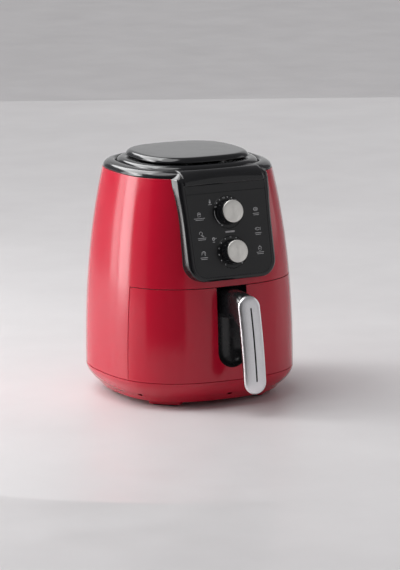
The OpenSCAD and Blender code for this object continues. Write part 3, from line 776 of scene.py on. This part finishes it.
def root_reach(v):
    """How far the rim spreads beyond the face."""
    return PANEL_HALF + FLARE + SHOULDER * max(0.0, 1 - v / SHOULDER_END) ** 2 - face_half(v)


def panel_edge():
    """(point, outward direction, reach) round the panel, from the crest down, across and up again."""
    low, r = PANEL_LOW, PANEL_R
    half = face_half(low)
    left = []
    for k in range(24):  # over the bezel the rim sinks into the ring
        p = band_point(-PANEL_HALF, 1 - k / 24)
        climb = max(0.0, (p.z - TOP_Z) / (CREST_Z - TOP_Z))
        left.append((p, Vector((-1, 0, 0)), root_reach(0) * max(0.0, 1 - climb / 0.8) ** 1.3))
    for k in range(25):
        v = (low - r) * k / 24
        left.append((on_panel(-face_half(v), -v), Vector((-1, 0, 0)), root_reach(v)))
    corner = []
    for k in range(1, 17):
        t = pi / 2 * k / 16
        out = Vector((-cos(t), -sin(t), 0))
        corner.append((on_panel(-half + r + r * out.x, -low + r + r * out.y), PANEL.to_3x3() @ out,
                       lerp(root_reach(low), FLARE, k / 16)))
    down = PANEL.to_3x3() @ Vector((0, -1, 0))
    bottom = [(on_panel((half - r) * (k / 12 - 1), -low), down, FLARE) for k in range(1, 13)]
    half_way = left + corner + bottom
    mirrored = [(Vector((-p.x, p.y, p.z)), Vector((-d.x, d.y, d.z)), reach)
                for p, d, reach in half_way[-2::-1]]
    return half_way + mirrored


def rim_profile(reach, deep):
    """(outward, backward) steps from the face's edge: a flat round, a drafted side and a fillet."""
    steep, shallow = radians(80), radians(23)
    across, back = min(RIM_ACROSS, 0.76 * reach), min(RIM_BACK, 0.5 * deep)
    root = min(ROOT_R, 0.22 * reach, 0.3 * deep)
    steps = [(across * sin(steep * k / 9), back * (1 - cos(steep * k / 9))) for k in range(10)]
    for k in range(8):
        phi = lerp(steep, shallow, k / 7)
        steps.append((reach - root * (sin(phi) - sin(shallow)),
                      deep - root * (cos(shallow) - cos(phi))))
    return steps


def make_panel_frame():
    """The gloss surround: a lip round the face, the rim back to the housing, and the band over the top."""
    normal = PANEL.to_3x3() @ Vector((0, 0, 1))
    lip, least_reach, least_depth = 0.9 * MM, 0.3 * MM, 0.5 * MM
    columns_of_points = []
    for p, d, reach in panel_edge():
        reach = max(reach, least_reach)
        spread = p + d * reach
        sink = 1.2 * MM if spread.z > TOP_Z else 0.2 * MM
        deep = AXIS_Y - plan_other(bezel_reach(spread.z) - sink, spread.x) - spread.y
        column = [p - d * lip - normal * 1.6 * MM, p - d * lip - normal * 0.3 * MM]
        column += [p + d * u + Vector((0, w, 0)) for u, w in rim_profile(reach, max(deep, least_depth))]
        columns_of_points.append(column)
    walls = grid("panel_surround", [list(row) for row in zip(*columns_of_points)])
    xs = spaced(-PANEL_HALF, PANEL_HALF, 3 * MM)
    band = grid("panel_band", [[band_point(x, k / 12) for x in xs] for k in range(13)])
    skin = join("panel_surround", [walls, band])
    weld(skin, 0.05 * MM)
    facing(smooth_by_angle(skin, 60), lambda p: -p.normal.y * p.area)
    solidify(skin, 1.2 * MM)
    finish_piece(skin, "housing", "gloss_black_plastic", BLACK, "panel_frame")


def panel_shape(inset, top, bottom=None):
    """The panel's outline on its face, drawn in by inset, from top to bottom below the crease."""
    if bottom is not None:
        return [(-face_half(top) + inset, -top), (-face_half(bottom) + inset, -bottom),
                (face_half(bottom) - inset, -bottom), (face_half(top) - inset, -top)]
    low, r = PANEL_LOW - inset, PANEL_R - inset
    half = face_half(PANEL_LOW) - inset
    left = [(-face_half(top) + inset, -top), (-face_half(low - r) + inset, -(low - r))]
    for k in range(1, 17):
        t = pi / 2 * k / 16
        left.append((-half + r - r * cos(t), -low + r - r * sin(t)))
    return left + [(-x, y) for x, y in left[::-1]]


def make_fascia():
    """The face: a strip below the crease, a fine groove, the main plate, and a backing behind the groove."""
    inset, half_groove, under = 0.95 * MM, 0.35 * MM, -1.35 * MM
    main = prism("main", panel_shape(inset, GROOVE + half_groove), under, -0.12 * MM)
    parts = [prism("backing", panel_shape(inset, 0.2 * MM), -2.4 * MM, -1.3 * MM), bevel(main, 0.3 * MM),
             prism("head", panel_shape(inset, 0.0, GROOVE - half_groove), under, -0.02 * MM)]
    fascia = join("fascia_plate", parts)
    fascia.matrix_world = PANEL
    finish_piece(fascia, "housing", "charcoal_fascia", FASCIA, "panel_fascia")


def make_dials():
    rings = []
    for v in KNOB_V.values():
        ring = lathe("dial", [(0, 0.3 * MM), (DIAL_R - 1.2 * MM, 0.3 * MM), (DIAL_R - 0.8 * MM, 0.6 * MM),
                              (DIAL_R - 0.3 * MM, 0.6 * MM), (DIAL_R, 0.2 * MM), (DIAL_R, -0.3 * MM)])
        ring.matrix_world = PANEL @ Matrix.Translation((0, -v, 0))
        rings.append(ring)
    dials = smooth_by_angle(join("dial_discs", rings), 30)
    finish_piece(dials, "housing", "dial_black", DIAL, "dial_plates")


def make_knobs():
    h = KNOB_HIGH
    for name, v in KNOB_V.items():
        place = PANEL @ Matrix.Translation((0, -v, 0))
        lower = in_mm(((0, 0.9), (16.4, 0.9), (17.0, 1.5), (16.9, 2.6), (16.3, 4.0), (16.0, 8)))
        upper = in_mm(((15.9, -2.4), (15.6, -1.5), (15.3, -1.2), (0, -1.2)), h)
        skirt = lathe(name + "_knob_body", lower + upper, 128)
        skirt.matrix_world = place
        smooth_by_angle(skirt, 40)
        finish_piece(skirt, name + "_control", "matt_black_plastic", BLACK, name + "_knob")
        disc = in_mm(((0, -1.3), (15.1, -1.3), (15.1, -0.6), (14.6, -0.15), (14.2, -0.15), (13.9, -0.05),
                      (8, 0), (0, 0)), h)
        cap = lathe(name + "_knob_cap", disc, 128)
        cap.matrix_world = place
        smooth_by_angle(cap, 25)
        finish_piece(cap, name + "_control", "brushed_cap", SPUN, name + "_cap")


def make_badge():
    plate = prism("plain_badge", rounded_outline(14 * MM, 2.5 * MM, 0.8 * MM, 4), 0, 0.55 * MM)
    bevel(plate, 0.2 * MM)
    plate.matrix_world = PANEL @ Matrix.Translation((0, -64.7 * MM, -0.2 * MM))
    finish_piece(plate, "housing", "brushed_cap", SHADED_BADGE, "blank_badge")


# ---- printed marks

def ribbon(points, width, closed=False):
    """A flat stroke along points, as verts and faces."""
    pts = [Vector((x, y, 0)) for x, y in points]
    n = len(pts)
    verts, faces = [], []
    for i, p in enumerate(pts):
        before = pts[i - 1] if closed or i else pts[0]
        after = pts[(i + 1) % n] if closed or i < n - 1 else pts[-1]
        d = (after - before).normalized()
        side = Vector((-d.y, d.x, 0)) * width / 2
        verts += [p + side, p - side]
    for i in range(n if closed else n - 1):
        a, b = 2 * i, 2 * ((i + 1) % n)
        faces.append((a, b, b + 1, a + 1))
    return verts, faces


def polar(r, degrees):
    return r * cos(radians(degrees)), r * sin(radians(degrees))


def arc(cx, cy, r, a0, a1, steps=16, squash=1.0):
    turns = [polar(r, lerp(a0, a1, k / steps)) for k in range(steps + 1)]
    return [(cx + x, cy + squash * y) for x, y in turns]


# Each pictogram is a list of strokes in millimetres.
PICTOGRAMS = {
    "chips": [[(-2.6, -0.4), (-1.9, -3.2), (1.9, -3.2), (2.6, -0.4), (-2.6, -0.4)],
              [(-1.8, -0.4), (-2.2, 2.2)], [(-0.6, -0.4), (-0.7, 3.0)], [(0.6, -0.4), (0.7, 2.6)],
              [(1.8, -0.4), (2.2, 2.0)]],
    "fish": [arc(-0.6, 0, 3.0, 20, 340, 20, 0.6), [(2.2, 0.6), (4.0, 1.9), (4.0, -1.9), (2.2, -0.6)],
             arc(-2.2, 0.4, 0.3, 0, 360, 8)],
    "drumstick": [arc(-0.8, 0.8, 2.3, -80, 210, 18), [(0.0, -1.2), (2.2, -3.0)], [(-1.2, -1.4), (1.6, -3.4)],
                  arc(2.3, -3.4, 0.7, -120, 100, 8)],
    "steak": [arc(0, 0, 3.1, 0, 360, 24, 0.72), arc(0.8, 0.2, 1.0, 0, 360, 12),
              arc(-0.4, -0.2, 2.0, 110, 250, 10, 0.7)],
    "prawn": [arc(0, 0, 2.8, -60, 200, 18), arc(0, 0, 1.5, -60, 180, 14), [(1.4, -2.4), (2.8, -3.4)],
              [(-2.6, -0.9), (-3.6, -1.6)]],
    "cake": [[(-2.2, -0.6), (-1.6, -3.2), (1.6, -3.2), (2.2, -0.6), (-2.2, -0.6)],
             arc(0, -0.6, 2.5, 0, 180, 14), arc(0, 2.4, 0.5, 0, 360, 8)],
}
# name, across, down, half widths of its two caption bars
ICONS = [("chips", -43, -38, 8.2, 6), ("drumstick", -42.5, -64.5, 6.2, 5.6),
         ("prawn", -42.5, -90.5, 5.4, 4.4), ("steak", 42, -38, 4.6, 4), ("fish", 42, -64.5, 4.8, 4),
         ("cake", 42, -90.5, 5.4, 4.8)]


ON_FACE, ON_DIAL = -0.06, 0.36  # heights of the print, in millimetres
MARK_R = 20.2  # the ring of dots and numbers on each dial
HEAT_DOTS = (139, 121, 85, 67, 31, 13)  # degrees, anticlockwise from the right
HEAT_LABELS = {238: "80", 156: "140", 103: "160", 49: "180", -5: "200"}
TIME_LABELS = {233: "0", 161.9: "10", 90.8: "20", 19.7: "30", -51.4: "40"}
TIME_DOTS = [233 - 23.7 * k for k in range(13) if k % 3]


def make_prints():
    """Pictograms, caption bars and dial marks as thin sheets, then the numbers on the dials."""
    verts, faces = [], []

    def add(part, x, y, z):
        base = len(verts)
        v, f = part
        verts.extend(PANEL @ Vector(((p.x + x) * MM, (p.y + y) * MM, z * MM)) for p in v)
        faces.extend(tuple(base + i for i in face) for face in f)

    for name, x, y, *bars in ICONS:
        for stroke in PICTOGRAMS[name]:
            add(ribbon(stroke, 0.5), x, y, ON_FACE)
        for k, width in enumerate(bars):
            add(ribbon([(-width, 0), (width, 0)], 0.6), x, y - 5.6 - 2.1 * k, ON_FACE)
    # thermometer and clock
    x, y = -25, -22.5
    tube = [(-0.6, -0.4), (-0.6, 2.0)] + arc(0, 2.0, 0.6, 180, 0, 8) + [(0.6, -0.4)]
    add(ribbon(tube, 0.5), x, y, ON_FACE)
    add(ribbon(arc(0, -1.0, 0.8, 0, 360, 16), 1.2), x, y, ON_FACE)
    add(ribbon([(-2.6, 0), (2.6, 0)], 0.6), x, y - 3.8, ON_FACE)
    x, y = -25.5, -72.5
    add(ribbon(arc(0, 0, 1.8, 0, 360, 20), 0.8), x, y, ON_FACE)
    add(ribbon([(0, 1.1), (0, 0), (0.9, -0.4)], 0.5), x, y, ON_FACE)
    add(ribbon(arc(3.6, 0.6, 0.35, 0, 360, 10), 0.6), x, y, ON_FACE)
    add(ribbon([(-1.6, 0), (1.6, 0)], 0.7), x, y - 4.2, ON_FACE)
    # an arc and dots for heat, dots for time
    heat, time = -KNOB_V["temperature"] / MM, -KNOB_V["timer"] / MM
    add(ribbon(arc(0, 0, MARK_R - 0.4, 229, 170, 20), 0.55), 0, heat, ON_DIAL)
    for y, dots in ((heat, HEAT_DOTS), (time, TIME_DOTS)):
        for a in dots:
            add(ribbon(arc(*polar(MARK_R, a), 0.42, 0, 360, 12), 0.8), 0, y, ON_DIAL)
    marks = new_mesh("printed_marks", verts, faces, smooth=False)
    for p in marks.data.polygons:
        if p.normal.y > 0:
            p.flip()
    finish_piece(marks, "housing", "dial_black", PRINT)
    figures = [figure(label, polar(MARK_R, a), y)
               for y, labels in ((heat, HEAT_LABELS), (time, TIME_LABELS)) for a, label in labels.items()]
    finish_piece(join("dial_figures", figures), "housing", "dial_black", PRINT)


def figure(label, place, dial_y):
    """A number on a dial, as a mesh."""
    curve = bpy.data.curves.new("figure", "FONT")
    curve.body = label
    curve.size = 3.0 * MM
    curve.align_x = "CENTER"
    curve.align_y = "CENTER"
    text = add_object("figure", curve)
    at = Vector((place[0] * MM, (dial_y + place[1]) * MM, ON_DIAL * MM))
    text.matrix_world = PANEL @ Matrix.Translation(at)
    flat = add_object("figure_mesh", evaluated_mesh(text))
    flat.matrix_world = text.matrix_world.copy()
    bpy.data.objects.remove(text)
    return flat


# ---- handle and pocket

def make_pocket():
    """A trough with a round lower end, sunk behind the drawer front's cut-out."""
    deep, recess = 19.5 * MM, 0.9 * MM
    radius = POCKET_R - 0.1 * MM
    top = pocket_high.z
    side, round_steps = 22, 28
    spine = [("left", lerp(top, POCKET_Z, k / side)) for k in range(side)]
    spine += [("arc", pi + pi * k / round_steps) for k in range(round_steps + 1)]
    spine += [("right", lerp(POCKET_Z, top, k / side)) for k in range(1, side + 1)]
    rows = []
    for share in [sin(pi / 2 * (1 - k / 14)) for k in range(15)]:
        r = radius * share
        d = recess + deep * sqrt(max(0.0, 1 - share * share))
        row = []
        for kind, value in spine:
            if kind == "arc":
                x, z = r * cos(value), POCKET_Z + r * sin(value)
            else:
                x, z = (-r if kind == "left" else r), value
            row.append(Vector((x, front_y(x, z) + d, z)))
        rows.append(row)
    trough = facing(outward(grid("pocket_trough", rows)), lambda p: -p.normal.y)
    solidify(trough, 1.6 * MM)
    finish_piece(trough, "drawer", "matt_black_plastic", POCKET, "pocket_insert")


def section(width, height):
    """A rounded rectangle across the neck, as (x, z)."""
    n, steps = 3.2, 40
    out = []
    for k in range(steps):
        t = TURN * k / steps
        c, s = cos(t), sin(t)
        out.append((copysign(abs(c) ** (2 / n), c) * width / 2,
                    copysign(abs(s) ** (2 / n), s) * height / 2))
    return out


def make_arm():
    """The neck: sections from the pocket's back wall to the back of the grip."""
    into_grip = 1.5 * MM

    def grip_back(z):
        return (GRIP @ Vector((0, (z - GRIP_MID.z) / cos(GRIP_TILT), -GRIP_DEEP + into_grip))).y

    stations = [  # (in front of the axis, low z, high z, width)
        (112, 120, 162, 30), (120, 121, 162.6, 29), (130, 122.5, 163, 27.5), (140, 123.5, 163.2, 26.5),
        (150, 123, 163.0, 26), (158, 120, 162.4, 26), (166, 115.5, 161.2, 26)]
    curve = smooth_curve([(-y, lo, hi) for y, lo, hi, _ in stations], 4)
    widths = smooth_curve([(w, 0, 0) for *_, w in stations], 4)
    rows = []
    for p, w in zip(curve, widths):
        mid, tall = (p.y + p.z) / 2, p.z - p.y
        rows.append([Vector((x * MM, AXIS_Y + p.x * MM, (mid + z) * MM)) for x, z in section(w.x, tall)])
    for push, low, high, w in ((0.5, 110, 159.5, 26), (1.0, 108, 158.5, 25)):  # halfway there, and there
        mid, tall = (low + high) / 2, high - low
        last_y = AXIS_Y - stations[-1][0] * MM
        rows.append([Vector((x * MM, lerp(last_y, grip_back((mid + z) * MM), push), (mid + z) * MM))
                     for x, z in section(w, tall)])
    arm = outward(grid("handle_neck", rows, closed=True, caps=True))
    smooth_by_angle(arm, 50)
    finish_piece(arm, "drawer", "gloss_black_plastic", POCKET, "handle_arm")


GRIP_STRAIGHT = GRIP_HALF_H - GRIP_HALF_W
LINE_R, LINE_STRAIGHT = 1.15 * MM, 48.3 * MM  # the dark line down the grip


def face_drop(y):
    """How far the grip's face has fallen away at y."""
    return END_DROP * (y / GRIP_HALF_H) ** 2


def stadium(inset, straight=GRIP_STRAIGHT):
    """Outline of the grip, inset from its edge, as local (x, y)."""
    r, steps = GRIP_HALF_W - inset, 24
    ends = [[(r * cos(a + pi * k / steps), s * straight + r * sin(a + pi * k / steps))
             for k in range(steps + 1)] for s, a in ((1, 0), (-1, pi))]
    down = [(-r, lerp(straight, -straight, k / 20)) for k in range(1, 20)]
    return ends[0] + down + ends[1] + [(-x, -y) for x, y in down]


def make_grip():
    """The satin cover with its slot, the dark line in the slot, and the black back."""
    w = GRIP_HALF_W
    # satin cover: a side wall, a round shoulder, a shallow crown, and a lip down into the line
    crown = [(0.0, -6.4), (0.0, -5.2), (0.3, -4.0), (1.1, -2.9), (2.4, -2.0), (4.1, -1.3), (6.2, -0.8),
             (8.6, -0.4), (11.4, -0.15), ((w - LINE_R) / MM, 0.0)]
    rows = []
    for a, z in smooth_pairs(crown, 4):
        inset = min(a * MM, w - LINE_R)
        straight = lerp(GRIP_STRAIGHT, LINE_STRAIGHT, (inset / (w - LINE_R)) ** 3)
        rows.append([Vector((x, y, z * MM - face_drop(y))) for x, y in stadium(inset, straight)])
    rows.append([p - Vector((0, 0, 1.2 * MM)) for p in rows[-1]])
    face = facing(weld(grid("grip_cover", rows, closed=True)), lambda p: p.normal.z)
    solidify(face, 1.0 * MM, even=False)
    smooth_by_angle(face, 40)
    face.data.transform(GRIP)
    finish_piece(face, "drawer", "satin_silver", SATIN, "handle_face")
    line = [Vector((x, y, -face_drop(y) - 0.9 * MM))
            for x, y in stadium(w - LINE_R - 0.3 * MM, LINE_STRAIGHT)]
    n = len(line)
    trim = new_mesh("grip_line", line + [p - Vector((0, 0, 1.6 * MM)) for p in line],
                    [tuple(range(n)), tuple(range(2 * n - 1, n - 1, -1))]
                    + [(i, i + n, (i + 1) % n + n, (i + 1) % n) for i in range(n)], smooth=False)
    weld(trim)
    trim.data.transform(GRIP)
    finish_piece(trim, "drawer", "gloss_black_plastic", BLACK, "handle_slot_trim")
    deep = -GRIP_DEEP / MM
    back = [(15.8, deep), (10, deep), (6, deep), (3.4, -14.4), (1.8, -13), (0.9, -11), (0.6, -8.6),
            (0.6, -6.2), (1.4, -6.0), (3.0, -5.9)]
    rows = [[Vector((x, y, z * MM)) for x, y in stadium(a * MM)] for a, z in smooth_pairs(back, 4)]
    rows.insert(0, [Vector((0, p.y, p.z)) for p in rows[0]])
    base = weld(grid("grip_back", rows, closed=True))
    base.data.transform(GRIP)
    finish_piece(base, "drawer", "matt_black_plastic", POCKET, "handle_grip")


# ---- back

def make_outlet():
    """A curved frame with rounded slats in the back of the housing."""
    low, high = outlet_low.z + 0.2 * MM, outlet_high.z - 0.2 * MM
    half, border, pitch = outlet_high.x - 0.2 * MM, 5 * MM, 3 * MM

    def back(x, z, out):
        return Vector((x, AXIS_Y + plan_other(half_at(z) + out, x), z))

    xs = sorted(set(spaced(-half, half, pitch)) | {-half + border, half - border})
    zs = through([low, low + border, high - border, high], 2.5 * MM)
    rows = [[back(x, z, 0.4 * MM) for x in xs] for z in zs]

    def skip(i, j):
        x, z = (xs[j] + xs[j + 1]) / 2, (zs[i] + zs[i + 1]) / 2
        return abs(x) < half - border and low + border < z < high - border

    rim = facing(outward(grid("rim", rows, skip=skip)), lambda p: p.normal.y)
    pieces = [bevel(solidify(rim, 3 * MM), 0.4 * MM)]
    slats = 6
    slat_section = ((0.2, 0.6), (0.35, 1.4), (-0.2, 1.9), (-3.6, -0.2), (-3.8, -1.0), (-3.2, -1.4))
    slat_xs = spaced(-half + border - MM, half - border + MM, pitch)
    for k in range(slats):
        z = lerp(low + border, high - border, (k + 0.5) / slats)
        rows = [[back(x, z + dz * MM, dy * MM) for x in slat_xs] for dy, dz in slat_section]
        pieces.append(outward(grid("slat", rows, closed_rows=True)))
    louvre = smooth_by_angle(join("rear_louvre", pieces), 45)
    finish_piece(louvre, "housing", "matt_black_plastic", MATT, "rear_outlet")


# ---- studio

def area_light(name, place, aim, size, power):
    light = bpy.data.lights.new(name, "AREA")
    light.shape = "RECTANGLE"
    light.size, light.size_y = size
    light.energy = power
    obj = add_object(name, light)
    obj.visible_camera = False
    obj.location = place
    obj.rotation_euler = (Vector(aim) - Vector(place)).to_track_quat("-Z", "Y").to_euler()
    return obj


def round_body(azimuth, distance, z):
    """A point at an azimuth from +X round the body's axis."""
    a = radians(azimuth)
    return Vector((distance * cos(a), AXIS_Y + distance * sin(a), z))


def make_floor():
    """A wide pale floor that runs on past every view's edge."""
    rings = [[round_body(6 * j, r, 0) for j in range(60)] for r in (0.01, 0.5, 1.5, 4, 10, 25, 60)]
    floor = grid("floor", rings, closed=True)
    mat = shader("pale_floor", (0.64, 0.62, 0.625), 0.42)
    vary_color(mat, noise(mat, 5, 6), (0.68, 0.66, 0.665), (0.73, 0.71, 0.715))
    vary_rough(mat, noise(mat, 12, 5), 0.38, 0.5)
    floor.data.materials.append(mat)


def make_flag():
    """A dark card to the front left, seen only in reflections, as photographers use on glossy things."""
    rows = [[round_body(a, 0.62, z) for a in range(196, 255, 3)] for z in (0.0, 0.7)]
    flag = grid("flag", rows)
    mat = shader("flag_felt", (0.01, 0.01, 0.01), 0.9)
    vary_color(mat, noise(mat, 40, 3), (0.008, 0.008, 0.008), (0.014, 0.014, 0.014))
    flag.data.materials.append(mat)
    for ray in ("camera", "diffuse", "shadow", "transmission", "volume_scatter"):
        setattr(flag, "visible_" + ray, False)


def make_studio():
    scene = bpy.context.scene
    scene.view_settings.view_transform = "Standard"
    world = bpy.data.worlds.new("studio")
    world.use_nodes = True
    world.node_tree.nodes["Background"].inputs["Color"].default_value = (0.97, 0.97, 1.0, 1)
    world.node_tree.nodes["Background"].inputs["Strength"].default_value = 0.23
    scene.world = world
    make_floor()
    make_flag()
    mid = Vector((0, AXIS_Y, 0.16))
    # a tall window to the left and its edge, a fill that no reflection shows, soft light from the right
    area_light("left_window", round_body(149, 1.45, 0.62), mid, (0.55, 1.3), 13.5)
    area_light("left_window_edge", round_body(132, 1.5, 0.62), mid, (0.32, 1.3), 3.6)
    area_light("left_fill", round_body(162, 1.6, 0.7), mid, (1.2, 1.3), 8).visible_glossy = False
    area_light("front_right", round_body(300, 2.8, 0.9), mid, (2.4, 1.8), 4)
    area_light("right_edge", round_body(352, 2.2, 0.8), mid, (1.0, 1.4), 4)
    # cards that only reflections show
    for name, place, size, power in (("high_wall", round_body(118, 1.5, 1.75), (1.8, 1.5), 50),
                                     ("window_head", round_body(157, 1.5, 0.80), (0.45, 0.35), 7.5),
                                     ("back_wall", round_body(63, 2.6, 0.9), (3.0, 1.9), 8)):
        area_light(name, place, mid, size, power).visible_diffuse = False
    # a sun as wide as a ceiling light, for the same soft shadow in every view
    sky = bpy.data.lights.new("ceiling", "SUN")
    sky.energy = 1.5
    sky.angle = radians(42)
    shine = Vector((0.35, -0.12, -1.0))
    add_object("ceiling", sky).rotation_euler = shine.to_track_quat("-Z", "Y").to_euler()


CAMERA_AT = Vector((-2.0354, -4.0800, 1.0463))  # from the body's axis
CAMERA_AIM = Vector((0, 0, 0.1585))
CAMERA_ROLL = radians(-0.657)
LENS, SENSOR = 213.3, 36  # millimetres
SHIFT = (0.0206, -0.0164)  # the photograph is cropped off centre


def make_camera():
    cam = bpy.data.cameras.new("camera")
    cam.lens = LENS
    cam.sensor_width = SENSOR
    cam.shift_x, cam.shift_y = SHIFT
    cam.clip_end = 50
    obj = add_object("camera", cam)
    shift = Vector((0, AXIS_Y, 0))
    place, aim = CAMERA_AT + shift, CAMERA_AIM + shift
    turn = (aim - place).to_track_quat("-Z", "Y").to_matrix().to_4x4()
    obj.matrix_world = Matrix.Translation(place) @ turn @ Matrix.Rotation(CAMERA_ROLL, 4, "Z")
    bpy.context.scene.camera = obj


# ---- the object

make_camera()
make_studio()
dress_cad_nodes()
make_housing()
make_drawer_front()
make_base()
make_feet()
make_bezel()
make_inlet()
make_cover()
make_panel_frame()
make_fascia()
make_dials()
make_knobs()
make_badge()
make_prints()
make_pocket()
make_arm()
make_grip()
make_outlet()
